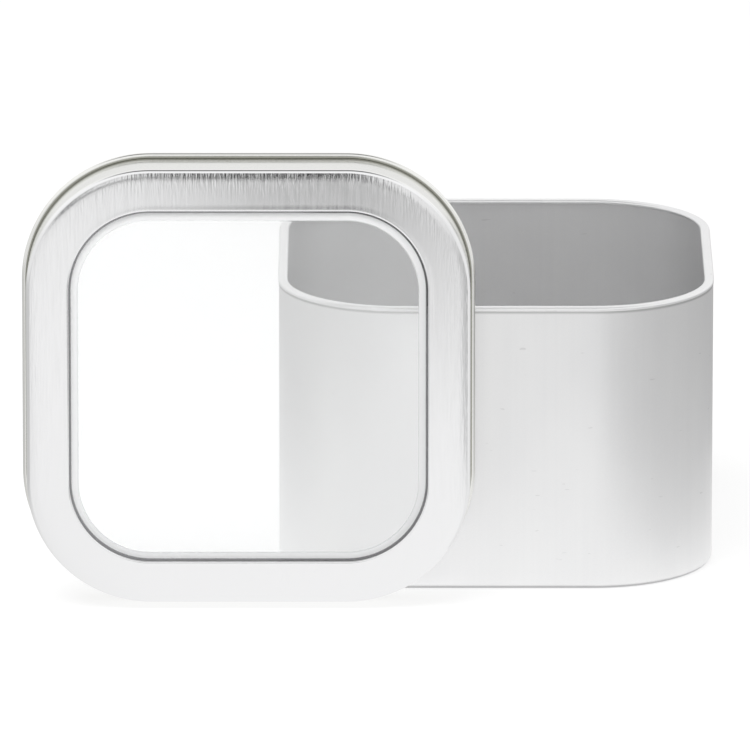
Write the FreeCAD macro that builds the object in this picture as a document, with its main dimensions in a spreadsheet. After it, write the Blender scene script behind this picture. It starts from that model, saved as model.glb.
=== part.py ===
import FreeCAD, Part
import Sketcher
import math
import os

# Square tin with round corners and a slip-on lid that has a clear window.
# Millimetres, +Z up, origin at the middle of the tin's base.
# The lid stands beside the tin, taken off: it leans back against the front of the tin's rim.

DIMENSIONS = {
    # drawn tin
    "tin_width": 108,
    "tin_height": 72,
    "corner_radius": 30,
    "tin_sheet": 0.25,
    "base_radius": 1.6,
    # bead rolled inwards round the mouth of the tin
    "bead_height": 1.2,
    "bead_width": 2.4,
    "bead_proud": 0.2,
    "bead_tail": 0.5,
    # lid pressed from one sheet
    "lid_clearance": 0.15,
    "lid_sheet": 0.25,
    "lid_depth": 15,
    "shoulder_radius": 1,
    "curl_height": 1.5,
    # window opening inside the lid's flat border, its edge turned back
    "border_width": 10.4,
    "lip_radius": 0.45,
    "lip_depth": 1.4,
    # formed clear window behind the opening
    "pane_sheet": 0.4,
    "pane_setback": 0.3,
    "pane_gap": 0.2,
    "pane_slope": 2.1,
    "pane_edge_gap": 0.3,
    # ring that holds the window in the lid
    "ring_sheet": 0.4,
    "ring_inset": 0.6,
    # where the lid stands
    "lean_angle": 2,
    "lean_gap": 0.3,
    "lid_offset": 61,
}

# Points of a sketch: which end of a piece of geometry, and the sketch's own axes and origin.
START, END, CENTRE = 1, 2, 3
X_AXIS, Y_AXIS = -1, -2
ORIGIN = (X_AXIS, START)
ANTICLOCKWISE, CLOCKWISE = 1, -1

# Places that several pieces share, measured from the tin's or the lid's middle and from its lower edge.
TIN_HALF = "dim.tin_width / 2"
WALL_OUT = "(dim.tin_width / 2 - dim.bead_proud)"
WALL_IN = "(dim.tin_width / 2 - dim.bead_proud - dim.tin_sheet)"
BEAD_R = "dim.bead_height / 2"
SKIRT_IN = "(dim.tin_width / 2 + dim.lid_clearance)"
SKIRT_OUT = "(dim.tin_width / 2 + dim.lid_clearance + dim.lid_sheet)"
LID_CORNER = "(dim.corner_radius + dim.lid_clearance + dim.lid_sheet)"
CURL_R = "dim.curl_height / 2"
LID_REACH = f"({SKIRT_IN} + dim.curl_height)"
FLAT_EDGE = f"({SKIRT_OUT} - dim.shoulder_radius)"
WINDOW = f"({SKIRT_OUT} - dim.border_width)"
LIP_END = "(dim.lid_depth - dim.lip_depth)"
PANE_TOP = "(dim.lid_depth - dim.pane_setback)"
PANE_FOOT = f"({WINDOW} - dim.pane_gap)"
PANE_PANEL = f"({WINDOW} - dim.pane_gap - dim.pane_slope)"
PANE_EDGE = f"({FLAT_EDGE} - dim.ring_sheet - dim.pane_edge_gap)"
PANE_BACK = f"({LIP_END} - dim.pane_sheet)"


def lid_corner(half):
    """Corner radius, parallel to the lid's own corners, of an outline this far from the lid's middle."""
    return f"{LID_CORNER} - ({SKIRT_OUT} - {half})"


def make_sheet(doc):
    """Spreadsheet of the driving dimensions, one named cell each."""
    sheet = doc.addObject("Spreadsheet::Sheet", "dim")
    for row, (name, size) in enumerate(DIMENSIONS.items(), start=1):
        sheet.set(f"A{row}", name)
        sheet.set(f"B{row}", str(size))
        sheet.setAlias(f"B{row}", name)
    doc.recompute()
    return sheet


def make_body(doc, name):
    """Empty body whose label names its file."""
    body = doc.addObject("PartDesign::Body", name)
    body.Label = name
    return body


def add_sketch(body, name, role, offset=None):
    """Sketch on one of the body's own origin planes, lifted off it by an expression if one is given."""
    sketch = body.newObject("Sketcher::SketchObject", name)
    plane = next(item for item in body.Origin.OriginFeatures if item.Role == role)
    sketch.AttachmentSupport = [(plane, "")]
    sketch.MapMode = "FlatFace"
    if offset is not None:
        sketch.setExpression("AttachmentOffset.Base.z", offset)
    return sketch


def bind(sketch, constraint, expression):
    """Add a dimension to a sketch and tie it to the sheet."""
    index = sketch.addConstraint(constraint)
    sketch.setExpression(f"Constraints[{index}]", expression)


def number(sketch, expression):
    """Present value of an expression, where the sketch's geometry is first drawn."""
    return float(sketch.evalExpression(expression))


def draw_outline(sketch, corners):
    """Closed outline through corners given as expressions.

    A corner is (x, y) where a straight run ends there, or (x, y, centre x, centre y, turn) where an arc does.
    """
    ends = [FreeCAD.Vector(number(sketch, corner[0]), number(sketch, corner[1]), 0) for corner in corners]
    runs = []
    for index, corner in enumerate(corners):
        begin, finish = ends[index - 1], ends[index]
        if len(corner) == 2:
            geometry = sketch.addGeometry(Part.LineSegment(begin, finish))
            runs.append((geometry, START, END))
            continue
        turn = corner[4]
        centre = FreeCAD.Vector(number(sketch, corner[2]), number(sketch, corner[3]), 0)
        circle = Part.Circle(centre, FreeCAD.Vector(0, 0, 1), (finish - centre).Length)
        angles = [math.atan2(point.y - centre.y, point.x - centre.x) for point in (begin, finish)]
        geometry = sketch.addGeometry(Part.ArcOfCircle(circle, *angles[::turn]))
        runs.append((geometry, START, END) if turn == ANTICLOCKWISE else (geometry, END, START))
    for index, corner in enumerate(corners):
        geometry, _, finish = runs[index]
        following, following_begin, _ = runs[(index + 1) % len(runs)]
        sketch.addConstraint(Sketcher.Constraint("Coincident", geometry, finish, following, following_begin))
        place_point(sketch, geometry, finish, "DistanceX", Y_AXIS, corner[0])
        place_point(sketch, geometry, finish, "DistanceY", X_AXIS, corner[1])
        if len(corner) > 2:
            span = ends[index] - ends[index - 1]
            if abs(span.y) > abs(span.x):
                place_point(sketch, geometry, CENTRE, "DistanceX", Y_AXIS, corner[2])
            else:
                place_point(sketch, geometry, CENTRE, "DistanceY", X_AXIS, corner[3])


def place_point(sketch, geometry, point, direction, axis, expression):
    """Fix one coordinate of a point, on the axis itself where that coordinate is nothing."""
    size = number(sketch, expression)
    if size == 0:
        sketch.addConstraint(Sketcher.Constraint("PointOnObject", geometry, point, axis))
    else:
        bind(sketch, Sketcher.Constraint(direction, *ORIGIN, geometry, point, size), expression)


def draw_round_square(sketch, half, radius):
    """Square with round corners about the origin, begun in the middle of its +X side."""
    reach = number(sketch, half)
    corner_radius = number(sketch, radius)
    flat = reach - corner_radius
    stops = [(reach, 0), (reach, flat), (flat, reach), (-flat, reach), (-reach, flat)]
    stops += [(-reach, -flat), (-flat, -reach), (flat, -reach), (reach, -flat), (reach, 0)]
    points = [FreeCAD.Vector(x, y, 0) for x, y in stops]
    lines = range(0, len(points) - 1, 2)
    arcs = range(1, len(points) - 1, 2)
    quarter = math.pi / 2
    for index, (begin, finish) in enumerate(zip(points, points[1:])):
        if index in lines:
            sketch.addGeometry(Part.LineSegment(begin, finish))
            continue
        turned = arcs.index(index) * quarter
        middle = begin + finish
        centre = FreeCAD.Vector(math.copysign(flat, middle.x), math.copysign(flat, middle.y), 0)
        circle = Part.Circle(centre, FreeCAD.Vector(0, 0, 1), corner_radius)
        sketch.addGeometry(Part.ArcOfCircle(circle, turned, turned + quarter))
    for arc in arcs:
        sketch.addConstraint(Sketcher.Constraint("Tangent", arc - 1, END, arc, START))
        sketch.addConstraint(Sketcher.Constraint("Tangent", arc, END, arc + 1, START))
    for arc in arcs[1:]:
        sketch.addConstraint(Sketcher.Constraint("Equal", arcs[0], arc))
    for line in lines[::2]:
        sketch.addConstraint(Sketcher.Constraint("Vertical", line))
    for line in lines[1::2]:
        sketch.addConstraint(Sketcher.Constraint("Horizontal", line))
    sketch.addConstraint(Sketcher.Constraint("Coincident", lines[-1], END, lines[0], START))
    sketch.addConstraint(Sketcher.Constraint("PointOnObject", lines[0], START, X_AXIS))
    sketch.addConstraint(Sketcher.Constraint("Symmetric", arcs[0], CENTRE, arcs[2], CENTRE, *ORIGIN))
    bind(sketch, Sketcher.Constraint("DistanceX", *ORIGIN, lines[0], START, reach), half)
    bind(sketch, Sketcher.Constraint("DistanceY", *ORIGIN, lines[1], START, reach), half)
    bind(sketch, Sketcher.Constraint("Radius", arcs[0], corner_radius), radius)


def add_swept_ring(body, name, section, half, radius):
    """Ring of one section, carried round a square with round corners."""
    path = add_sketch(body, f"{name}_path", "XY_Plane")
    draw_round_square(path, half, radius)
    outline = add_sketch(body, f"{name}_section", "XZ_Plane")
    draw_outline(outline, section)
    body.Document.recompute()
    ring = body.newObject("PartDesign::AdditivePipe", name)
    ring.Profile = outline
    ring.Spine = path
    return ring


def add_panel(body, name, half, radius, level, thickness):
    """Flat panel with round corners, its lower face at the given level."""
    outline = add_sketch(body, f"{name}_outline", "XY_Plane", level)
    draw_round_square(outline, half, radius)
    body.Document.recompute()
    panel = body.newObject("PartDesign::Pad", name)
    panel.Profile = outline
    panel.setExpression("Length", thickness)
    return panel


def make_tin_body(doc):
    """Tin drawn in one piece: flat base, round lower edge, upright wall, bead rolled inwards at the mouth."""
    body = make_body(doc, "tin_body")
    foot = f"({WALL_OUT} - dim.base_radius)"
    bead_mid = f"({TIN_HALF} - {BEAD_R})"
    lobe_mid = f"({TIN_HALF} - dim.bead_width + {BEAD_R})"
    bead_level = f"(dim.tin_height - {BEAD_R})"
    bead_under = "(dim.tin_height - dim.bead_height)"
    tail = f"({lobe_mid} + dim.bead_tail)"
    throat_out = f"({bead_level} - sqrt(({BEAD_R})^2 - ({BEAD_R} - dim.bead_proud)^2))"
    throat_in = (f"({bead_level} - sqrt(({BEAD_R} - dim.tin_sheet)^2"
                 f" - ({BEAD_R} - dim.tin_sheet - dim.bead_proud)^2))")
    section = [
        (foot, "0"),
        (WALL_OUT, "dim.base_radius", foot, "dim.base_radius", ANTICLOCKWISE),
        (WALL_OUT, throat_out),
        (bead_mid, "dim.tin_height", bead_mid, bead_level, ANTICLOCKWISE),
        (lobe_mid, "dim.tin_height"),
        (lobe_mid, bead_under, lobe_mid, bead_level, ANTICLOCKWISE),
        (tail, bead_under),
        (tail, f"{bead_under} + dim.tin_sheet"),
        (lobe_mid, f"{bead_under} + dim.tin_sheet"),
        (lobe_mid, "dim.tin_height - dim.tin_sheet", lobe_mid, bead_level, CLOCKWISE),
        (bead_mid, "dim.tin_height - dim.tin_sheet"),
        (WALL_IN, throat_in, bead_mid, bead_level, CLOCKWISE),
        (WALL_IN, "dim.base_radius"),
        (foot, "dim.tin_sheet", foot, "dim.base_radius", CLOCKWISE),
    ]
    add_swept_ring(body, "tin_wall", section, TIN_HALF, "dim.corner_radius")
    base_corner = "dim.corner_radius - dim.bead_proud - dim.base_radius"
    add_panel(body, "tin_base", foot, base_corner, "0", "dim.tin_sheet")
    return body


def make_lid_frame(doc):
    """Lid pressed from one sheet: face round the window, round shoulder, skirt, edge curled outwards."""
    body = make_body(doc, "lid_frame")
    face = "dim.lid_depth"
    face_back = "dim.lid_depth - dim.lid_sheet"
    curl_mid = f"({SKIRT_IN} + {CURL_R})"
    lip_mid = f"({WINDOW} + dim.lip_radius)"
    lip_level = "(dim.lid_depth - dim.lip_radius)"
    shoulder_level = "(dim.lid_depth - dim.shoulder_radius)"
    section = [
        (WINDOW, LIP_END),
        (WINDOW, lip_level),
        (lip_mid, face, lip_mid, lip_level, CLOCKWISE),
        (FLAT_EDGE, face),
        (SKIRT_OUT, shoulder_level, FLAT_EDGE, shoulder_level, CLOCKWISE),
        (SKIRT_OUT, CURL_R),
        (curl_mid, "dim.curl_height - dim.lid_sheet", curl_mid, CURL_R, ANTICLOCKWISE),
        (curl_mid, "dim.curl_height"),
        (SKIRT_IN, CURL_R, curl_mid, CURL_R, CLOCKWISE),
        (SKIRT_IN, shoulder_level),
        (FLAT_EDGE, face_back, FLAT_EDGE, shoulder_level, ANTICLOCKWISE),
        (lip_mid, face_back),
        (f"{WINDOW} + dim.lid_sheet", lip_level, lip_mid, lip_level, ANTICLOCKWISE),
        (f"{WINDOW} + dim.lid_sheet", LIP_END),
    ]
    add_swept_ring(body, "lid_shell", section, SKIRT_OUT, LID_CORNER)
    return body


def make_window_pane(doc):
    """Clear formed sheet: panel raised into the opening on a sloped edge, flange behind the lid's lip."""
    body = make_body(doc, "window_pane")
    section = [
        (PANE_PANEL, f"{PANE_TOP} - dim.pane_sheet"),
        (PANE_FOOT, PANE_BACK),
        (PANE_EDGE, PANE_BACK),
        (PANE_EDGE, LIP_END),
        (PANE_FOOT, LIP_END),
        (PANE_PANEL, PANE_TOP),
    ]
    add_swept_ring(body, "pane_edge", section, PANE_EDGE, lid_corner(PANE_EDGE))
    add_panel(body, "pane_panel", PANE_PANEL, lid_corner(PANE_PANEL),
              f"{PANE_TOP} - dim.pane_sheet", "dim.pane_sheet")
    return body


def make_retaining_ring(doc):
    """Pressed ring behind the window's flange, its outer edge turned up to the back of the lid's face."""
    body = make_body(doc, "retaining_ring")
    inner = f"({WINDOW} + dim.ring_inset)"
    leg_in = f"({FLAT_EDGE} - dim.ring_sheet)"
    leg_top = "dim.lid_depth - dim.lid_sheet"
    web_back = f"{PANE_BACK} - dim.ring_sheet"
    section = [
        (inner, web_back),
        (FLAT_EDGE, web_back),
        (FLAT_EDGE, leg_top),
        (leg_in, leg_top),
        (leg_in, PANE_BACK),
        (inner, PANE_BACK),
    ]
    add_swept_ring(body, "ring_strip", section, FLAT_EDGE, lid_corner(FLAT_EDGE))
    return body


def stand_lid(body):
    """Stand a piece of the lid on the curled edge, face to the front, leaning back on the tin's rim."""
    lean = "dim.lean_angle"
    height = f"(({LID_REACH} - {CURL_R}) * cos({lean}) - {CURL_R} * sin({lean}) + {CURL_R})"
    depth = f"{TIN_HALF} + dim.lean_gap + (dim.tin_height - {height}) * tan({lean})"
    body.Placement = FreeCAD.Placement(FreeCAD.Vector(), FreeCAD.Rotation(FreeCAD.Vector(1, 0, 0), 90))
    body.setExpression("Placement.Base.x", "-dim.lid_offset")
    body.setExpression("Placement.Base.y", f"-({depth})")
    body.setExpression("Placement.Base.z", height)
    body.setExpression("Placement.Rotation.Angle", f"90 - {lean}")


def check_document(doc, bodies):
    """Stop if any feature failed or any piece is empty, broken or not one solid."""
    failed = [item.Name for item in doc.Objects if {"Invalid", "Error"} & set(item.State)]
    if failed:
        raise RuntimeError(f"failed features: {failed}")
    for body in bodies:
        shape = body.Shape
        if shape.isNull() or not shape.isValid() or len(shape.Solids) != 1:
            raise RuntimeError(f"{body.Label} is not one sound solid")


def main():
    doc = FreeCAD.newDocument("window_lid_tin")
    make_sheet(doc)
    tin = make_tin_body(doc)
    lid = [make_lid_frame(doc), make_window_pane(doc), make_retaining_ring(doc)]
    for body in lid:
        stand_lid(body)
    doc.recompute()
    bodies = [tin, *lid]
    check_document(doc, bodies)
    os.makedirs("parts", exist_ok=True)
    for body in bodies:
        body.Shape.exportStep(f"parts/{body.Label}.step")
        box = body.Shape.optimalBoundingBox()
        size = f"{box.XLength:.2f} x {box.YLength:.2f} x {box.ZLength:.2f} mm"
        print(f"{body.Label}: {size}, {body.Shape.Volume:.1f} mm3")


main()
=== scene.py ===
# %% [markdown]
# # A square tin with a window lid
# The object is a drawn metal tin with round corners, and its slip-on lid: a pressed frame with a clear
# window, taken off and leaning on the tin. Its construction comes from a CAD model, which this script
# loads as a fixed frame. Blender then gives every piece its real surface. Everything is in metres.

# %% Load the frame
import math

import bmesh
import bpy
from mathutils import Matrix, Vector


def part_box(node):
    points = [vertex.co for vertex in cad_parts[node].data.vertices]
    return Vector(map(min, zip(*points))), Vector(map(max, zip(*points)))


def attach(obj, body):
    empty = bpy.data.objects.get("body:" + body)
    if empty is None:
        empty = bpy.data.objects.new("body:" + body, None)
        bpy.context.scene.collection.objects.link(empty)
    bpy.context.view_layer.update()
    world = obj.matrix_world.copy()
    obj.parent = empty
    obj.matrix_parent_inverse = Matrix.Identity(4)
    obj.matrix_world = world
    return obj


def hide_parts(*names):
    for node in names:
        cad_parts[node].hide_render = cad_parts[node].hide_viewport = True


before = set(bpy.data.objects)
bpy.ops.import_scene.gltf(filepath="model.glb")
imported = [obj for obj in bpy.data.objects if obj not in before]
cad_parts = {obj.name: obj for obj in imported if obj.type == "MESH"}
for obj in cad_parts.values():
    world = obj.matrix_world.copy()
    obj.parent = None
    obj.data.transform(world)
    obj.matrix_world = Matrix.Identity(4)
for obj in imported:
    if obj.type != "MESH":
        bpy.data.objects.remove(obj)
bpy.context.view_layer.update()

MM = 0.001

# %% [markdown]
# ## The camera
# The picture looks slightly down on the tin from a long way off, so that upright edges stay upright and
# the far side is hardly smaller than the near one. A long lens far away gives that look. One number,
# how many picture elements a millimetre takes where the camera aims, then sets the lens.

# %% Camera
PICTURE_SIDE = 750
PIXELS_PER_MM = 4.0
CAMERA_ELEVATION = math.radians(15.2)
CAMERA_DISTANCE = 3.5
CAMERA_AIM = Vector((-30.0, 1.3, 39.9)) * MM

camera = bpy.data.objects.new("camera", bpy.data.cameras.new("camera"))
bpy.context.scene.collection.objects.link(camera)
to_camera = Vector((0, -math.cos(CAMERA_ELEVATION), math.sin(CAMERA_ELEVATION)))
camera.location = CAMERA_AIM + to_camera * CAMERA_DISTANCE
camera.rotation_euler = (-to_camera).to_track_quat("-Z", "Y").to_euler()
picture_width = PICTURE_SIDE / PIXELS_PER_MM * MM
camera.data.lens = camera.data.sensor_width * CAMERA_DISTANCE / picture_width
camera.data.clip_end = 20
bpy.context.scene.camera = camera
bpy.context.scene.view_settings.view_transform = "Standard"
print(f"camera: lens {camera.data.lens:.0f} mm, {CAMERA_DISTANCE} m away")

# %% [markdown]
# ## Where things are
# The tin's width and height and the lid's place are read from the frame, so the looks follow the CAD
# model. The lid was drawn lying flat, open side down, then stood on its edge and leaned back. The same
# turn and shift carry each piece of the lid from the drawing to its place.

# %% Sizes of the tin and the lid
tin_low, tin_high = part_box("tin_body")
lid_low, lid_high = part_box("lid_frame")

SHEET = 0.25 * MM
TIN_HALF = tin_high.x
TIN_HEIGHT = tin_high.z
TIN_CORNER = 30 * MM
BEAD_RADIUS = 0.6 * MM
BEAD_PROUD = 0.2 * MM

LID_CLEARANCE = 0.15 * MM
LID_DEPTH = 15 * MM
LID_LEAN = math.radians(2)
SKIRT_IN = TIN_HALF + LID_CLEARANCE
SKIRT_OUT = SKIRT_IN + SHEET
LID_CORNER = TIN_CORNER + LID_CLEARANCE + SHEET
CURL_RADIUS = (lid_high.x - lid_low.x) / 4 - SKIRT_IN / 2
SHOULDER_RADIUS = 1.0 * MM
BORDER_WIDTH = 10.4 * MM
FLAT_EDGE = SKIRT_OUT - SHOULDER_RADIUS
WINDOW = SKIRT_OUT - BORDER_WIDTH

lid_middle = Vector((
    (lid_low.x + lid_high.x) / 2,
    lid_low.y + FLAT_EDGE * math.sin(LID_LEAN) + LID_DEPTH * math.cos(LID_LEAN),
    (lid_low.z + lid_high.z) / 2 - CURL_RADIUS * math.sin(LID_LEAN),
))
LID_TURN = math.radians(90) - LID_LEAN
stand_lid = Matrix.Translation(lid_middle) @ Matrix.Rotation(LID_TURN, 4, "X")
print("lid's middle, mm:", [round(value / MM, 2) for value in lid_middle], f"curl {CURL_RADIUS / MM:.2f}")

# %% [markdown]
# ## Sections
# Sheet metal is thin, so its look lies in its section: where it bends, how tightly, and how its edge is
# turned. A section here is a list of points (out, up), out from the middle of the piece. Round bends are
# arcs made by one function, and a bend between two straight runs by another. A helper point on each
# straight run, a set distance past the bend, keeps flat metal flat when it is shaded smooth.

# %% Arcs and bends
ARC_STEP = math.radians(9)
HELPER = 1 * MM


def arc(out, up, radius, begin, end, least=2):
    """Points of an arc about (out, up), from one angle in degrees to another."""
    steps = max(least, round(abs(math.radians(end - begin)) / ARC_STEP))
    angles = [math.radians(begin + (end - begin) * step / steps) for step in range(steps + 1)]
    return [(out + radius * math.cos(a), up + radius * math.sin(a)) for a in angles]


def bend(before, corner, after, radius):
    """Points that round the corner between two straight runs."""
    corner = Vector(corner)
    run_in = (Vector(before) - corner).normalized()
    run_out = (Vector(after) - corner).normalized()
    half = run_in.angle(run_out) / 2
    middle = (run_in + run_out).normalized()
    centre = corner + middle * (radius / math.sin(half))
    begin, end = (corner + run * (radius / math.tan(half)) - centre for run in (run_in, run_out))
    begin_angle, end_angle = (math.degrees(math.atan2(point.y, point.x)) for point in (begin, end))
    turn = (end_angle - begin_angle + 180) % 360 - 180
    return arc(centre.x, centre.y, radius, begin_angle, begin_angle + turn)


# %% [markdown]
# ## Carrying a section round
# All four pieces follow one rule: a section carried round a square with round corners. Geometry Nodes
# state that rule once. The tree draws the square, rounds its corners, spaces points evenly along it and
# carries the section along, and its inputs are the sizes that differ from piece to piece. A mesh could
# be spun and bridged by hand instead, but the rule keeps every piece parallel to its neighbour.

# %% Tree that carries a section round
CORNER_POINTS = 60
PATH_STEP = 1.0 * MM


def make_carry_tree():
    """Node tree: a section, carried round a square with round corners."""
    tree = bpy.data.node_groups.new("carry_section_round", "GeometryNodeTree")
    tree.interface.new_socket("Section", in_out="INPUT", socket_type="NodeSocketGeometry")
    for name in ("Half Width", "Corner Radius", "Step"):
        tree.interface.new_socket(name, in_out="INPUT", socket_type="NodeSocketFloat")
    tree.interface.new_socket("Finish", in_out="INPUT", socket_type="NodeSocketMaterial")
    tree.interface.new_socket("Sheet", in_out="OUTPUT", socket_type="NodeSocketGeometry")
    given = tree.nodes.new("NodeGroupInput").outputs

    def add(kind, settings, sockets):
        """One node: its settings, then what feeds its sockets; gives its first output."""
        node = tree.nodes.new(kind)
        for name, setting in settings.items():
            setattr(node, name, setting)
        for name, source in sockets.items():
            if isinstance(source, bpy.types.NodeSocket):
                tree.links.new(source, node.inputs[name])
            else:
                node.inputs[name].default_value = source
        return node.outputs[0]

    width = add("ShaderNodeMath", {"operation": "MULTIPLY"}, {0: given["Half Width"], 1: 2.0})
    square = add("GeometryNodeCurvePrimitiveQuadrilateral", {}, {"Width": width, "Height": width})
    rounded = add("GeometryNodeFilletCurve", {"mode": "POLY"},
                  {"Curve": square, "Count": CORNER_POINTS, "Radius": given["Corner Radius"]})
    spaced = add("GeometryNodeResampleCurve", {"mode": "LENGTH"},
                 {"Curve": rounded, "Length": given["Step"]})
    path = add("GeometryNodeSetCurveNormal", {"mode": "Z_UP"}, {"Curve": spaced})
    section = add("GeometryNodeMeshToCurve", {}, {"Mesh": given["Section"]})
    sheet = add("GeometryNodeCurveToMesh", {}, {"Curve": path, "Profile Curve": section})
    realized = add("GeometryNodeRealizeInstances", {}, {"Geometry": sheet})
    finished = add("GeometryNodeSetMaterial", {}, {"Geometry": realized, "Material": given["Finish"]})
    tree.links.new(finished, tree.nodes.new("NodeGroupOutput").inputs["Sheet"])
    return tree


carry_tree = make_carry_tree()
print("carry tree:", len(carry_tree.nodes), "nodes")

# %% [markdown]
# The section goes in as a chain of edges, measured from the path. The result is baked to a plain mesh
# and the modifier dropped, because a game engine or another program knows nothing of node trees. Where
# the middle of a piece is a flat panel, the open ends of its section leave two holes, which are filled.
# Last come outward normals, and smooth shading with a crease wherever the sheet has a cut edge. Each
# point also keeps its distance out from the middle, so that a finish can tell a rim from a panel.

# %% Piece from a section
CREASE = math.radians(35)


def make_ring(name, section, closed, path_half, path_corner, finish, place=Matrix.Identity(4)):
    """Piece made by carrying a section round; its middle is filled where the section isn't closed."""
    chain = bpy.data.meshes.new(f"{name}_section")
    points = [(out - path_half, -up, 0) for out, up in section]
    edges = [(index, index + 1) for index in range(len(points) - 1)]
    if closed:
        edges.append((len(points) - 1, 0))
    chain.from_pydata(points, edges, [])
    chain.attributes.new("out", "FLOAT", "POINT").data.foreach_set("value", [out for out, up in section])
    drawn = bpy.data.objects.new(f"{name}_drawn", chain)
    bpy.context.scene.collection.objects.link(drawn)
    carry = drawn.modifiers.new("carry", "NODES")
    carry.node_group = carry_tree
    sizes = {"Half Width": path_half, "Corner Radius": path_corner, "Step": PATH_STEP, "Finish": finish}
    for item in carry_tree.interface.items_tree:
        if item.name in sizes:
            carry[item.identifier] = sizes[item.name]
    evaluated = drawn.evaluated_get(bpy.context.evaluated_depsgraph_get())
    mesh = bpy.data.meshes.new_from_object(evaluated)
    bpy.data.objects.remove(drawn)
    shape = bmesh.new()
    shape.from_mesh(mesh)
    bmesh.ops.holes_fill(shape, edges=[edge for edge in shape.edges if edge.is_boundary])
    bmesh.ops.recalc_face_normals(shape, faces=shape.faces)
    shape.transform(place)
    shape.to_mesh(mesh)
    shape.free()
    mesh.shade_smooth()
    mesh.set_sharp_from_angle(angle=CREASE)
    mesh.name = name
    piece = bpy.data.objects.new(name, mesh)
    bpy.context.scene.collection.objects.link(piece)
    low, high = (Vector(map(pick, zip(*(v.co for v in mesh.vertices)))) for pick in (min, max))
    print(f"{name}: {len(mesh.polygons)} faces, from {[round(c / MM, 2) for c in low]}",
          f"to {[round(c / MM, 2) for c in high]} mm")
    return piece


# %% [markdown]
# ## Writing finishes
# A finish is a node tree, and its maths reads best as plain expressions. This small class stands for one
# output of a node. Adding or multiplying it adds a Math node, and its method called node adds any other:
# first the node's type and settings, then what its sockets get. The rest are shorthand for common nodes.

# %% Class for shader sockets
class Shade:
    """One output of a node in a material, which sums, products and further nodes carry on from."""

    def __init__(self, tree, output=None):
        self.tree = tree
        self.output = output

    def node(self, kind, settings, sockets, output=0):
        """Add a node: its settings first, then its sockets' values or links; gives one of its outputs."""
        made = self.tree.nodes.new(kind)
        for name, setting in settings.items():
            setattr(made, name, setting)
        for name, given in sockets.items():
            if isinstance(given, Shade):
                self.tree.links.new(given.output, made.inputs[name])
            else:
                made.inputs[name].default_value = given
        return Shade(self.tree, made.outputs[output])

    def maths(self, operation, first, second):
        return self.node("ShaderNodeMath", {"operation": operation}, {0: first, 1: second})

    def __add__(self, other):
        return self.maths("ADD", self, other)

    def __radd__(self, other):
        return self.maths("ADD", other, self)

    def __sub__(self, other):
        return self.maths("SUBTRACT", self, other)

    def __rsub__(self, other):
        return self.maths("SUBTRACT", other, self)

    def __mul__(self, other):
        return self.maths("MULTIPLY", self, other)

    def __rmul__(self, other):
        return self.maths("MULTIPLY", other, self)

    def ramp(self, begin, end):
        """Smooth step from 0 to 1 while this value goes from begin to end."""
        return self.node("ShaderNodeMapRange", {"interpolation_type": "SMOOTHSTEP"},
                         {"Value": self, "From Min": begin, "From Max": end})

    def out(self):
        """Distance out from the middle of the piece, as its section was drawn."""
        return self.node("ShaderNodeAttribute", {"attribute_name": "out"}, {}, "Fac")

    def axis(self, name):
        """One coordinate of this vector."""
        return self.node("ShaderNodeSeparateXYZ", {}, {0: self}, name)

    def noise(self, per_metre, detail=2.0, roughness=0.5):
        """Soft noise at this place, so many grains to the metre along each axis."""
        stretched = self.node("ShaderNodeVectorMath", {"operation": "MULTIPLY"}, {0: self, 1: per_metre})
        return self.node("ShaderNodeTexNoise", {}, {"Vector": stretched, "Scale": 1.0, "Detail": detail,
                                                    "Roughness": roughness})

    def blend(self, low, high):
        """Colour between two others, by this value."""
        return self.node("ShaderNodeMix", {"data_type": "RGBA"}, {0: self, 6: low, 7: high}, 2)

    def bump(self, distance, under=None):
        """Normal of a surface with this height times distance, in metres, over another bump."""
        sockets = {"Height": self, "Distance": distance}
        if under is not None:
            sockets["Normal"] = under
        return self.node("ShaderNodeBump", {}, sockets)


def new_finish(name):
    """Empty material: the place on the object, and the shader that the finish feeds."""
    material = bpy.data.materials.new(name)
    material.use_nodes = True
    tree = material.node_tree
    place = Shade(tree).node("ShaderNodeTexCoord", {}, {}, "Object")
    shader = next(node for node in tree.nodes if node.type == "BSDF_PRINCIPLED")
    return material, place, shader


def feed(shader, **sockets):
    """Link values that change over the surface, and set those that don't on the shader itself."""
    for name, given in sockets.items():
        socket = shader.inputs[name.replace("_", " ")]
        if isinstance(given, Shade):
            shader.id_data.links.new(given.output, socket)
        else:
            socket.default_value = given


def tell(material):
    print(f"finish {material.name}: {len(material.node_tree.nodes)} nodes")
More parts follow.
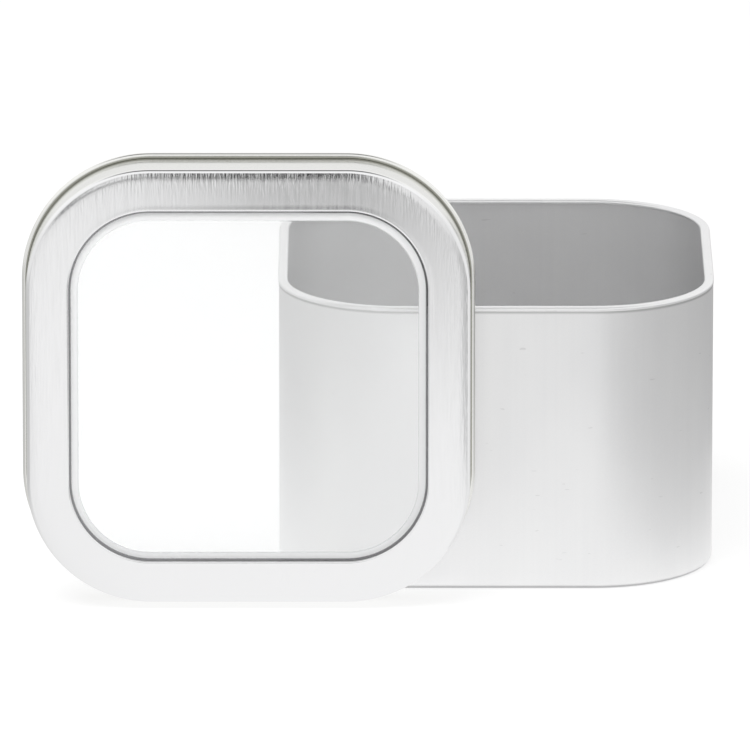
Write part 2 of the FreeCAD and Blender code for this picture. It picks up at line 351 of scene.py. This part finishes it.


# %% [markdown]
# ## Satin tin
# The drawn tin has a soft, silky finish. Its sheet is dulled evenly all over, so reflections spread into
# wide gradients with no sharp edge. Under that lie faint upright lines from the drawing die, a fine grain,
# a very slight waviness and a few short marks from handling. The crease where the bead meets the wall
# gets a thin line of painted shade. A single grey with one roughness would look like painted plastic.

# %% Satin tin finish
def make_satin_tin():
    material, place, shader = new_finish("satin_tin")
    grain = place.noise((2600, 2600, 2600), detail=3)
    cloud = place.noise((38, 38, 24), detail=3)
    drawn = place.noise((700, 700, 9), detail=2)
    marks = place.noise((230, 230, 1200), detail=1).ramp(0.765, 0.79)
    colour = (cloud * 0.6 + drawn * 0.15 + grain * 0.25).ramp(0.3, 0.7).blend(
        (0.885, 0.885, 0.89, 1), (0.935, 0.935, 0.935, 1))
    colour = marks.blend(colour, (0.8, 0.8, 0.8, 1))
    up = place.axis("Z")
    below = TIN_HEIGHT - 2 * BEAD_RADIUS
    wall = TIN_HALF - BEAD_PROUD
    # Painted shade: a thin dark line along the crease just under the bead, on the outside of the wall.
    crease_painted_shade = up.ramp(below - 0.6 * MM, below) * up.ramp(below + 0.4 * MM, below + 0.1 * MM)
    crease_painted_shade = crease_painted_shade * place.out().ramp(wall - 0.5 * SHEET, wall)
    waves = place.noise((22, 22, 14), detail=1).bump(0.06 * MM)
    lines = drawn.bump(0.002 * MM, under=waves)
    feed(shader, Base_Color=crease_painted_shade.blend(colour, (0.6, 0.6, 0.6, 1)), Metallic=1.0,
         Normal=(grain - marks).bump(0.004 * MM, under=lines),
         Roughness=0.38 + cloud * 0.06 + grain * 0.05 - marks * 0.1)
    return material


satin_tin = make_satin_tin()
tell(satin_tin)

# %% [markdown]
# ## Brushed tinplate
# The lid is brighter than the tin, and its face was brushed along one direction, so short fine lines run
# up and down it. The lines are noise stretched along the brush, deepest near the rim of the face, where
# the metal is also smoothest. A Mapping node turns places on the standing lid back to the drawing that
# lies flat, where out and up are plain axes. The skirt is a little warmer than the face. Where the curled
# edge meets the skirt, a dark band of painted shade runs a few millimetres up the skirt.

# %% Brushed tinplate finish
def make_brushed_tinplate():
    material, place, shader = new_finish("brushed_tinplate")
    flat = place.node("ShaderNodeMapping", {"vector_type": "TEXTURE"},
                      {"Vector": place, "Location": lid_middle, "Rotation": (LID_TURN, 0, 0)})
    up = flat.axis("Z")
    face = up.ramp(LID_DEPTH - 1.2 * MM, LID_DEPTH - 0.3 * MM)
    brush = flat.noise((2000, 260, 260), detail=2)
    streak = flat.noise((2300, 110, 110), detail=3, roughness=0.6).ramp(0.35, 0.68)
    cloud = flat.noise((60, 60, 60), detail=3)
    metal = face.blend((0.875, 0.875, 0.85, 1), (0.91, 0.91, 0.915, 1))
    out = place.out()
    outside = out.ramp(SKIRT_IN + 0.2 * SHEET, SKIRT_OUT)
    # Painted shade: a dark band on the outside of the skirt just above the curl, fading out 8 mm up.
    curl_painted_shade = outside * out.ramp(SKIRT_OUT + 0.12 * MM, SKIRT_OUT + 0.04 * MM) * up.ramp(8 * MM, 3 * MM)
    edge = out.ramp(FLAT_EDGE - 7 * MM, FLAT_EDGE - 1 * MM)
    hairs = (brush - 0.5) * face * (0.13 + edge * 0.87)
    rim = out.ramp(FLAT_EDGE - 1.6 * MM, FLAT_EDGE - 0.4 * MM) * face
    feed(shader, Base_Color=curl_painted_shade.blend(metal, (0.42, 0.42, 0.38, 1)), Metallic=1.0,
         Normal=hairs.bump(0.025 * MM),
         Roughness=0.12 + streak * face * 0.05 + cloud * 0.03 - rim * 0.06)
    return material


brushed_tinplate = make_brushed_tinplate()
tell(brushed_tinplate)

# %% [markdown]
# ## Plain tinplate
# The ring behind the window is plain tinplate, pressed and not brushed. It is seen only from behind.

# %% Plain tinplate finish
def make_plain_tinplate():
    material, place, shader = new_finish("plain_tinplate")
    grain = place.noise((1900, 1900, 1900), detail=3)
    cloud = place.noise((70, 70, 70), detail=3)
    colour = cloud.ramp(0.3, 0.7).blend((0.86, 0.86, 0.84, 1), (0.91, 0.91, 0.90, 1))
    feed(shader, Base_Color=colour, Metallic=1.0, Normal=grain.bump(0.006 * MM),
         Roughness=0.26 + cloud * 0.12)
    return material


plain_tinplate = make_plain_tinplate()
tell(plain_tinplate)

# %% [markdown]
# ## Clear window
# The window is formed from a clear plastic sheet. It lets nearly all light through, mirrors a little,
# and scatters a little, like any handled plastic: that thin veil is what shows that a pane is there.
# Forming stretches its sloped edge, which turns milky. A Mix Shader blends a white plastic in there, and
# leaves out the foot of the slope, where a thin dark line of shade is painted beside the lid's lip. A
# fainter line of painted shade runs along the inner bend, where the slope leaves the raised middle.

# %% Clear plastic finish
PANE_GAP = 0.2 * MM
PANE_SLOPE = 2.1 * MM
PANE_FOOT = WINDOW - PANE_GAP
PANE_PANEL = PANE_FOOT - PANE_SLOPE
MILKY_SHARE = 0.85


def make_clear_sheet():
    material, place, shader = new_finish("clear_sheet")
    wave = place.noise((45, 45, 45), detail=1)
    dust = place.noise((1500, 1500, 1500), detail=2).ramp(0.55, 0.8)
    out = place.out()
    slope = out.ramp(PANE_PANEL - 0.15 * MM, PANE_PANEL + 0.15 * MM)
    # Painted shade: a thin dark line at the foot of the slope, beside the lid's lip; the white plastic is
    # left out there.
    crevice_painted_shade = out.ramp(PANE_FOOT - 0.48 * MM, PANE_FOOT - 0.25 * MM)
    # Painted shade: the inner bend, where the slope leaves the raised panel, is darkened to a thin grey
    # line in both plastics.
    crease_painted_shade = slope * (1 - out.ramp(PANE_PANEL + 0.1 * MM, PANE_PANEL + 0.4 * MM))
    clear = (slope * 0.4 + crease_painted_shade * 0.6).blend((0.985, 0.99, 0.99, 1), (0.80, 0.81, 0.82, 1))
    feed(shader, Base_Color=crevice_painted_shade.blend(clear, (0.25, 0.25, 0.26, 1)), Roughness=0.03 + dust * 0.05,
         Normal=wave.bump(0.02 * MM), IOR=1.46, Transmission_Weight=0.9)
    milky = crease_painted_shade.blend((0.97, 0.975, 0.98, 1), (0.84, 0.845, 0.85, 1))
    clear_plastic = Shade(place.tree, shader.outputs[0])
    white_plastic = place.node("ShaderNodeBsdfPrincipled", {}, {"Base Color": milky, "Roughness": 0.3})
    share = slope * (1 - crevice_painted_shade) * MILKY_SHARE
    sheet = place.node("ShaderNodeMixShader", {}, {0: share, 1: clear_plastic, 2: white_plastic})
    surface = next(node for node in place.tree.nodes if node.type == "OUTPUT_MATERIAL")
    place.tree.links.new(sheet.output, surface.inputs["Surface"])
    return material


clear_sheet = make_clear_sheet()
tell(clear_sheet)

# %% [markdown]
# ## The tin
# The tin is drawn from one disc of sheet: flat base, tight round lower edge, upright wall, and at the
# mouth a bead rolled inwards. The bead stands a hair proud of the wall. Below it, a thin dark line of
# painted shade marks the crease. The section starts under the base, goes up the outside, over the bead
# and back down inside.

# %% Tin
BASE_RADIUS = 1.6 * MM
BEAD_WIDTH = 2.4 * MM
BEAD_TAIL = 0.5 * MM
PANEL_EDGE = 3 * MM


def tin_section():
    wall_out = TIN_HALF - BEAD_PROUD
    wall_in = wall_out - SHEET
    foot = wall_out - BASE_RADIUS
    bead_out = TIN_HALF - BEAD_RADIUS
    bead_in = TIN_HALF - BEAD_WIDTH + BEAD_RADIUS
    bead_up = TIN_HEIGHT - BEAD_RADIUS
    inside = BEAD_RADIUS - SHEET
    throat_out = math.degrees(math.acos((wall_out - bead_out) / BEAD_RADIUS))
    throat_in = math.degrees(math.acos((wall_in - bead_out) / inside))
    tail_low = TIN_HEIGHT - 2 * BEAD_RADIUS
    return [
        (foot - PANEL_EDGE, 0),
        *arc(foot, BASE_RADIUS, BASE_RADIUS, -90, 0),
        (wall_out, BASE_RADIUS + 2 * HELPER),
        (wall_out, bead_up - 2 * HELPER),
        *arc(bead_out, bead_up, BEAD_RADIUS, -throat_out, 90),
        *arc(bead_in, bead_up, BEAD_RADIUS, 90, 270),
        (bead_in + BEAD_TAIL, tail_low),
        (bead_in + BEAD_TAIL, tail_low + SHEET),
        *arc(bead_in, bead_up, inside, 270, 90),
        *arc(bead_out, bead_up, inside, 90, -throat_in),
        (wall_in, bead_up - 2 * HELPER),
        (wall_in, BASE_RADIUS + 2 * HELPER),
        *arc(foot, BASE_RADIUS, BASE_RADIUS - SHEET, 0, -90),
        (foot - PANEL_EDGE, SHEET),
    ]


tin = make_ring("tin", tin_section(), False, TIN_HALF, TIN_CORNER, satin_tin)
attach(tin, "tin")
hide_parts("tin_body")

# %% [markdown]
# ## The lid
# The lid is pressed from one sheet too. Starting at the window: the edge of the opening is turned back
# as a rolled lip, which stands a hair above the border. The border is flat, then falls away slightly
# towards the tight round shoulder. Below that comes the skirt that slips over the tin, and an edge curled
# outwards until it nearly touches the skirt, so that no raw metal is left to cut a finger.

# %% Lid frame
LIP_RADIUS = 0.45 * MM
LIP_DEPTH = 1.4 * MM
RIDGE_RISE = 0.03 * MM
RIDGE_WIDTH = 0.4 * MM
CURL_GAP = 0.05 * MM
CROWN = 6
CROWN_WIDTH = 2.2 * MM
CROWN_RADIUS = CROWN_WIDTH / math.sin(math.radians(CROWN))
CROWN_DROP = CROWN_RADIUS * (1 - math.cos(math.radians(CROWN)))


def lid_section():
    inside = CURL_RADIUS - SHEET
    curl_out = SKIRT_IN + CURL_RADIUS
    curl_end = 540 - math.degrees(math.acos((curl_out - SKIRT_OUT - CURL_GAP) / CURL_RADIUS))
    crown_begin = FLAT_EDGE - CROWN_WIDTH
    border_up = LID_DEPTH - RIDGE_RISE
    crown_up = border_up - CROWN_RADIUS
    shoulder_up = border_up - CROWN_DROP - SHOULDER_RADIUS
    lip_out = WINDOW + LIP_RADIUS
    lip_up = LID_DEPTH - LIP_RADIUS
    lip_end = LID_DEPTH - LIP_DEPTH
    return [
        (WINDOW, lip_end),
        *arc(lip_out, lip_up, LIP_RADIUS, 180, 90),
        (lip_out + RIDGE_WIDTH, border_up),
        (lip_out + RIDGE_WIDTH + HELPER, border_up),
        *arc(crown_begin, crown_up, CROWN_RADIUS, 90, 90 - CROWN, 8),
        *arc(FLAT_EDGE, shoulder_up, SHOULDER_RADIUS, 90 - CROWN, 0),
        (SKIRT_OUT, shoulder_up - HELPER),
        (SKIRT_OUT, CURL_RADIUS + HELPER),
        *arc(curl_out, CURL_RADIUS, inside, 180, curl_end),
        *arc(curl_out, CURL_RADIUS, CURL_RADIUS, curl_end, 180),
        (SKIRT_IN, CURL_RADIUS + HELPER),
        (SKIRT_IN, shoulder_up - HELPER),
        *arc(FLAT_EDGE, shoulder_up, SHOULDER_RADIUS - SHEET, 0, 90 - CROWN),
        *arc(crown_begin, crown_up, CROWN_RADIUS - SHEET, 90 - CROWN, 90, 8),
        (lip_out + RIDGE_WIDTH + HELPER, border_up - SHEET),
        (lip_out + RIDGE_WIDTH, border_up - SHEET),
        *arc(lip_out, lip_up, LIP_RADIUS - SHEET, 90, 180),
        (WINDOW + SHEET, lip_end),
    ]


lid = make_ring("lid", lid_section(), True, SKIRT_OUT, LID_CORNER, brushed_tinplate, stand_lid)
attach(lid, "lid")
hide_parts("lid_frame")

# %% [markdown]
# ## The window
# The pane is not a flat plate. Its middle is raised into the opening, and a sloped edge leads down to a
# flange behind the lip. The slope is the pale band that runs round the inside of the window.

# %% Window pane
PANE_SHEET = 0.4 * MM
PANE_BEND = 0.5 * MM
PANE_SETBACK = 0.3 * MM
PANE_EDGE_GAP = 0.3 * MM
RING_SHEET = 0.4 * MM
PANE_TOP = LID_DEPTH - PANE_SETBACK
PANE_EDGE = FLAT_EDGE - RING_SHEET - PANE_EDGE_GAP
FLANGE_TOP = LID_DEPTH - LIP_DEPTH
FLANGE_BACK = FLANGE_TOP - PANE_SHEET


def pane_section():
    panel_end = PANE_PANEL - PANEL_EDGE
    lower = [(panel_end, PANE_TOP - PANE_SHEET), (PANE_PANEL, PANE_TOP - PANE_SHEET),
             (PANE_FOOT, FLANGE_BACK), (PANE_EDGE, FLANGE_BACK)]
    upper = [(PANE_EDGE, FLANGE_TOP), (PANE_FOOT, FLANGE_TOP),
             (PANE_PANEL, PANE_TOP), (panel_end, PANE_TOP)]
    return [
        lower[0],
        *bend(*lower[0:3], PANE_BEND),
        *bend(*lower[1:4], PANE_BEND + PANE_SHEET),
        (PANE_FOOT + 2 * HELPER, FLANGE_BACK),
        lower[3],
        upper[0],
        (PANE_FOOT + 2 * HELPER, FLANGE_TOP),
        *bend(*upper[0:3], PANE_BEND),
        *bend(*upper[1:4], PANE_BEND + PANE_SHEET),
        upper[3],
    ]


pane = make_ring("pane", pane_section(), False, SKIRT_OUT, LID_CORNER, clear_sheet, stand_lid)
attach(pane, "lid")
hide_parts("window_pane")

# %% [markdown]
# ## The ring behind the window
# A pressed ring holds the window's flange against the lip. Its outer edge is turned up to the back of
# the lid's face. It shows when the lid is seen from behind.

# %% Retaining ring
RING_INSET = 0.6 * MM
RING_BEND = 0.2 * MM


def ring_section():
    inner = WINDOW + RING_INSET
    leg_in = FLAT_EDGE - RING_SHEET
    leg_top = LID_DEPTH - RIDGE_RISE - CROWN_DROP - SHEET
    back = FLANGE_BACK - RING_SHEET
    outer_bend = bend((inner, back), (FLAT_EDGE, back), (FLAT_EDGE, leg_top), RING_BEND + RING_SHEET)
    inner_bend = bend((leg_in, leg_top), (leg_in, FLANGE_BACK), (inner, FLANGE_BACK), RING_BEND)
    return [
        (inner, back),
        (inner + HELPER, back),
        (FLAT_EDGE - 1.5 * HELPER, back),
        *outer_bend,
        (FLAT_EDGE, leg_top),
        (leg_in, leg_top),
        *inner_bend,
        (leg_in - 1.5 * HELPER, FLANGE_BACK),
        (inner + HELPER, FLANGE_BACK),
        (inner, FLANGE_BACK),
    ]


ring = make_ring("ring", ring_section(), True, SKIRT_OUT, LID_CORNER, plain_tinplate, stand_lid)
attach(ring, "lid")
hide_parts("retaining_ring")

# %% [markdown]
# ## The set
# Bare metal shows what stands around it, so the set matters as much as the finishes do. What the camera
# sees is plain: a white floor that takes a soft shadow, and a white background. Everything else in the
# set is a board that only reflections see, as a photographer places cards and flags just outside the
# picture. A white surround on its own would leave pale metal without any edges.

# %% Boards and floor
def plain(name, colour, glow):
    """Flat colour for the set: matt, and lit from within by a share that keeps it pale."""
    material = bpy.data.materials.new(name)
    material.use_nodes = True
    shader = next(node for node in material.node_tree.nodes if node.type == "BSDF_PRINCIPLED")
    feed(shader, Base_Color=(colour, colour, colour, 1), Roughness=1.0, Specular_IOR_Level=0.0,
         Emission_Color=(1, 1, 1, 1), Emission_Strength=glow)
    return material


def add_board(name, corners, material):
    """Flat board of the set."""
    mesh = bpy.data.meshes.new(name)
    mesh.from_pydata(corners, [], [range(len(corners))])
    mesh.materials.append(material)
    board = bpy.data.objects.new(name, mesh)
    bpy.context.scene.collection.objects.link(board)
    return board


def flat_board(name, low, high, up, material):
    corners = [(low[0], low[1], up), (high[0], low[1], up), (high[0], high[1], up), (low[0], high[1], up)]
    return add_board(name, corners, material)


def upright_board(name, begin, end, height, material):
    return add_board(name, [(*begin, 0), (*end, 0), (*end, height), (*begin, height)], material)


FLOOR_REACH = 40
FLOOR_UP = -0.02 * MM
floor = flat_board("floor", (-FLOOR_REACH, -FLOOR_REACH), (FLOOR_REACH, FLOOR_REACH), FLOOR_UP,
                   plain("white_floor", 0.28, 0.78))
floor.visible_glossy = False
print("floor:", 2 * FLOOR_REACH, "m wide, not seen in reflections")

# %% [markdown]
# ## Boards that glow
# A board for reflections gives no light and takes none. It only has a brightness, which may change from
# place to place, so its material is a black one that glows by that much.

# %% Boards for reflections
def new_glow(name):
    """Material that only glows: the place on the board, and the shader that its brightness feeds."""
    material, place, shader = new_finish(name)
    feed(shader, Base_Color=(0, 0, 0, 1), Specular_IOR_Level=0.0, Emission_Strength=1.0)
    return material, place, shader


def only_in_reflections(board):
    for ray in ("camera", "diffuse", "transmission", "volume_scatter", "shadow"):
        setattr(board, f"visible_{ray}", False)
    print(f"{board.name}: {board.dimensions.x:.2f} x {board.dimensions.y:.2f} x {board.dimensions.z:.2f} m")


# %% [markdown]
# ## The table
# The camera looks down a little, so upright metal shows it the table. That makes the table the board that
# draws most of the tin's wall and the lid's border. It is white close by. It turns grey to the left and
# most of all to the right, which rounds the tin's corners, and dark far out in front, which shades the
# lid's upper border. No light gets under the tin, so a patch of shade lies there, as wide as its base.

# %% Table
TABLE_HALF = 3
TABLE_WHITE = 0.85
CLOSE_LIFT = 0.11
SHADE_UP = 0.02 * MM


def make_table_white():
    """White right round the object, falling off to a soft grey at the sides, most of all at the right."""
    material, place, shader = new_glow("table_white")
    across, along = place.axis("X"), place.axis("Y")
    reach = place.node("ShaderNodeVectorMath", {"operation": "LENGTH"}, {0: place}, "Value")
    right = across.ramp(0.0, 0.045) * reach.ramp(0.06, 0.3) * 0.33 + across.ramp(0.02, 0.24) * 0.31
    close = across.ramp(0.055, 0.09) * across.ramp(0.2, 0.12) * 0.12
    back = across.ramp(0.03, 0.07) * across.ramp(0.15, 0.1) * along.ramp(0.03, 0.12) * 0.25
    left = (along * 0.15 - across).ramp(0.06, 0.22) * 0.36
    front = (0.0 - along).ramp(0.25, 0.9) * across.ramp(-0.1, -0.05) * across.ramp(0.02, -0.03) * 0.8
    far = (0.0 - along).ramp(1.1, 1.5) * across.ramp(-0.7, -0.5) * across.ramp(0.0, -0.06) * 0.65
    near = reach.ramp(1.2, 0.4)
    greys = CLOSE_LIFT - right - close - back - left
    feed(shader, Emission_Color=TABLE_WHITE + near * greys - front - far)
    return material


table = flat_board("table", (-TABLE_HALF, -TABLE_HALF), (TABLE_HALF, TABLE_HALF), 0, make_table_white())
only_in_reflections(table)

foot_middle = TIN_HALF - TIN_CORNER
foot = [point for x, y, turn in ((1, 1, 0), (-1, 1, 90), (-1, -1, 180), (1, -1, 270))
        for point in arc(x * foot_middle, y * foot_middle, TIN_CORNER, turn, turn + 90)]
tin_shade = add_board("tin_shade", [(x, y, SHADE_UP) for x, y in foot], plain("tin_shade", 0.0, 0.5))
only_in_reflections(tin_shade)

# %% [markdown]
# ## The walls
# Four pale walls close the set off. At the foot they are as bright as the far table, so that no line
# shows where they meet it, and they are white at the top.

# %% Walls
ROOM_HALF = 2.5
ROOM_HEIGHT = 1.5


def make_wall_white():
    """As pale as the far table at the foot, white at the top."""
    material, place, shader = new_glow("wall_white")
    rise = place.axis("Z").ramp(0.3, ROOM_HEIGHT)
    feed(shader, Emission_Color=TABLE_WHITE + rise * (1 - TABLE_WHITE))
    return material


wall_white = make_wall_white()
room_corners = [(x * ROOM_HALF, y * ROOM_HALF) for x, y in ((-1, -1), (1, -1), (1, 1), (-1, 1))]
for side, name in enumerate(("front", "right", "back", "left")):
    begin, end = room_corners[side], room_corners[(side + 1) % 4]
    only_in_reflections(upright_board(f"wall_{name}", begin, end, ROOM_HEIGHT, wall_white))

# %% [markdown]
# ## Dark and pale boards near the object
# Four more boards draw single lines and areas. A dark stand in front is mirrored by the deep brush lines
# along the lid's upper rim, which turn into dark ticks. A dark beam overhead draws the fine grey lines on
# the curl, the shoulder and the bead. A pale card between the lid and the tin brightens the part of the
# tin seen through the window, and another beside the lid brightens its right edge. A hard edge in a
# mirror looks like a thing of its own, so the stand and the beam fade to white at their sides. The card
# beside the lid stands close to the tin, which is not white there, so it fades to clear, by Alpha.

# %% Stand
STAND_LEFT, STAND_RIGHT = -0.13, 0.04
STAND_FRONT = -1.2
STAND_HEIGHT = 0.35


def make_stand_dark():
    """Dark in the middle, fading to white at both sides."""
    material, place, shader = new_glow("stand_dark")
    across = place.axis("X")
    dark = across.ramp(-0.125, -0.08) * across.ramp(0.035, -0.035)
    feed(shader, Emission_Color=0.87 - dark * 0.84)
    return material


camera_stand = upright_board("camera_stand", (STAND_LEFT, STAND_FRONT), (STAND_RIGHT, STAND_FRONT),
                             STAND_HEIGHT, make_stand_dark())
only_in_reflections(camera_stand)

# %% Beam
BEAM_MIDDLE = -0.06
BEAM_ACROSS = 1.0
BEAM_ALONG = 0.75
BEAM_UP = 1.4
BEAM_DARK = 0.2


def make_beam_dark():
    """Dark over the lid, fading to white all round."""
    material, place, shader = new_glow("beam_dark")
    along = place.maths("ABSOLUTE", place.axis("Y"), 0.0).ramp(BEAM_ALONG, BEAM_DARK)
    across = place.maths("ABSOLUTE", place.axis("X") - BEAM_MIDDLE, 0.0).ramp(BEAM_ACROSS, BEAM_DARK)
    feed(shader, Emission_Color=1.0 - along * across * 0.85)
    return material


beam = flat_board("beam", (BEAM_MIDDLE - BEAM_ACROSS, -BEAM_ALONG), (BEAM_MIDDLE + BEAM_ACROSS, BEAM_ALONG),
                  BEAM_UP, make_beam_dark())
only_in_reflections(beam)

# %% Card behind the lid
CARD_LEFT, CARD_RIGHT = -0.113, -0.009
CARD_FRONT = -0.06
CARD_HEIGHT = 0.069


def make_card_white():
    """White at the foot and the right, greyer up and to the left."""
    material, place, shader = new_glow("card_white")
    shade = (0.0 - place.axis("X")).ramp(0.01, 0.05) * place.axis("Z").ramp(0.0, 0.07)
    feed(shader, Emission_Color=0.9 - shade * 0.18)
    return material


fill_card = upright_board("fill_card", (CARD_LEFT, CARD_FRONT), (CARD_RIGHT, CARD_FRONT), CARD_HEIGHT,
                          make_card_white())
only_in_reflections(fill_card)

# %% Card beside the lid
SIDE_ACROSS = 0.003
SIDE_FRONT, SIDE_BACK = -0.09, -0.056
SIDE_HEIGHT = 0.13
SIDE_WHITE = 0.87
BACK_FADE = 0.014
TOP_FADE = 0.04


def make_side_white():
    """White, fading out towards the tin and towards the top."""
    material, place, shader = new_glow("side_white")
    soft_back = place.axis("Y").ramp(SIDE_BACK, SIDE_BACK - BACK_FADE)
    soft_top = place.axis("Z").ramp(SIDE_HEIGHT, SIDE_HEIGHT - TOP_FADE)
    feed(shader, Emission_Color=(SIDE_WHITE, SIDE_WHITE, SIDE_WHITE, 1), Alpha=soft_back * soft_top)
    return material


side_card = upright_board("side_card", (SIDE_ACROSS, SIDE_FRONT), (SIDE_ACROSS, SIDE_BACK), SIDE_HEIGHT,
                          make_side_white())
only_in_reflections(side_card)

# %% [markdown]
# ## Light
# The background is white wherever it is looked at, straight on, in metal or through the window. As a
# source of light it is dimmer, which leaves room for the lamp: a big soft disc up on the left, whose
# shadow falls to the right. The lamp itself isn't mirrored.

# %% Background
PLAIN_LIGHT = 0.55
world = bpy.data.worlds.new("studio")
bpy.context.scene.world = world
world.use_nodes = True


def light_background():
    """White where the camera, metal or glass looks at it; a plain soft light everywhere else."""
    start = Shade(world.node_tree)
    camera_ray, glossy_ray, transmission_ray = (
        start.node("ShaderNodeLightPath", {}, {}, f"Is {ray} Ray")
        for ray in ("Camera", "Glossy", "Transmission"))
    looked_at = (camera_ray + glossy_ray + transmission_ray).ramp(0.0, 1.0)
    background = next(node for node in world.node_tree.nodes if node.type == "BACKGROUND")
    background.inputs["Color"].default_value = (1, 1, 1, 1)
    strength = PLAIN_LIGHT + looked_at * (1 - PLAIN_LIGHT)
    world.node_tree.links.new(strength.output, background.inputs["Strength"])


light_background()
print("background: strength", PLAIN_LIGHT, "as a light")

# %% Lamp
LAMP_PLACE = Vector((-0.4, -0.5, 1.4))
LAMP_WIDTH = 1.2
LAMP_WATTS = 14

lamp = bpy.data.objects.new("soft_lamp", bpy.data.lights.new("soft_lamp", "AREA"))
bpy.context.scene.collection.objects.link(lamp)
lamp.data.shape = "DISK"
lamp.data.size = LAMP_WIDTH
lamp.data.energy = LAMP_WATTS
lamp.location = LAMP_PLACE
lamp.rotation_euler = (-LAMP_PLACE).to_track_quat("-Z", "Y").to_euler()
lamp.visible_glossy = False
print("lamp:", LAMP_WATTS, "W,", LAMP_WIDTH, "m wide")
